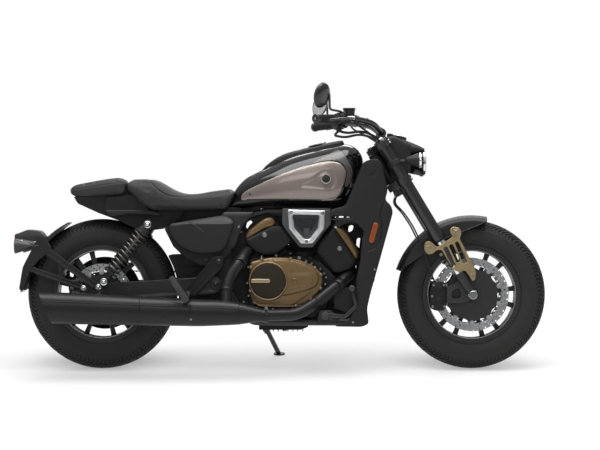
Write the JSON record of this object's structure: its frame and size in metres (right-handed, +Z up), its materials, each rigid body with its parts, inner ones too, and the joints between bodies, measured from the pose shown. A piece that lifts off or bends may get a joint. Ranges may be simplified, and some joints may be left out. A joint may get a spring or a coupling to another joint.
{
  "type": "cruiser motorcycle",
  "caption": "V-twin cruiser motorcycle leaning on its side stand, with wheels and steering that turn, a folding stand and a hinged fuel cap.",
  "frame": {"origin": "on the ground, under the middle of the parked machine's bounding box", "axes": "+X forward, +Y to the rider's left, +Z up; the machine leans 10 degrees towards +Y on its side stand"},
  "size_m": [2.2922, 0.9298, 1.2683],
  "materials": {
    "tyre": "matte",
    "black_wheel": "satin",
    "disc_steel": "brushed",
    "black_metal": "satin",
    "gloss_black": "gloss",
    "taupe_paint": "satin metallic",
    "bronze_metal": "satin metallic",
    "chrome": "polished",
    "steel": "satin",
    "aluminium": "satin",
    "black_plastic": "matte",
    "grey_plastic": "satin",
    "vinyl": "matte",
    "rubber": "matte",
    "glass": "clear",
    "exhaust_black": "satin"
  },
  "bodies": {
    "chassis": {"frame_spine": "black_metal", "frame_cradle": "black_metal", "cylinders": "black_metal", "drive_belt": "rubber", "crankcase": "black_metal", "engine_covers": "bronze_metal", "intake_housing": "grey_plastic", "muffler": "exhaust_black", "header_pipes": "exhaust_black", "tank_panels": "taupe_paint", "fuel_tank": "gloss_black", "seat": "vinyl", "seat_cowl": "vinyl", "tail_body": "gloss_black", "side_covers": "grey_plastic", "radiator": "aluminium", "radiator_shrouds": "grey_plastic", "swingarm": "black_metal", "rear_axle": "steel", "shock_absorbers": "chrome", "rear_caliper": "black_metal", "plate_holder": "black_plastic", "rear_lamps": "black_plastic", "foot_pegs": "black_metal"},
    "steering": {"fork_tubes": "black_metal", "fork_legs": "black_metal", "front_axle": "steel", "fork_yokes": "black_metal", "front_calipers": "black_metal", "front_mudguard": "black_plastic", "mudguard_brackets": "bronze_metal", "handlebar": "black_metal", "hand_controls": "black_metal", "mirrors": "black_plastic", "headlight_shell": "gloss_black", "front_lamps": "glass", "brake_hoses": "rubber"},
    "front_wheel": {"front_tyre": "tyre", "front_rim": "black_wheel", "front_discs": "disc_steel"},
    "rear_wheel": {"rear_tyre": "tyre", "rear_rim": "black_wheel", "rear_disc": "disc_steel"},
    "side_stand": {"side_stand": "black_metal"},
    "fuel_cap": {"fuel_cap": "chrome"}
  },
  "joints": [
    {"name": "steering_turn", "type": "hinge", "parent": "chassis", "child": "steering", "pos_m": [0.40723, -0.03437, 0.91663], "axis": [-0.515, 0.1488, 0.8441], "range_deg": [-33, 33]},
    {"name": "front_wheel_spin", "type": "hinge", "parent": "steering", "child": "front_wheel", "pos_m": [0.8259, -0.14019, 0.31648], "axis": [0, 0.9848, -0.1736], "continuous": true},
    {"name": "rear_wheel_spin", "type": "hinge", "parent": "chassis", "child": "rear_wheel", "pos_m": [-0.7691, -0.13967, 0.31943], "axis": [0, 0.9848, -0.1736], "continuous": true},
    {"name": "side_stand_fold", "type": "hinge", "parent": "chassis", "child": "side_stand", "pos_m": [-0.0691, -0.04868, 0.15595], "axis": [0, 0.8001, 0.5999], "range_deg": [0, 97]},
    {"name": "fuel_cap_lift", "type": "hinge", "parent": "chassis", "child": "fuel_cap", "pos_m": [0.19587, -0.02587, 0.96482], "axis": [0, 0.9848, -0.1736], "range_deg": [0, 100]}
  ]
}
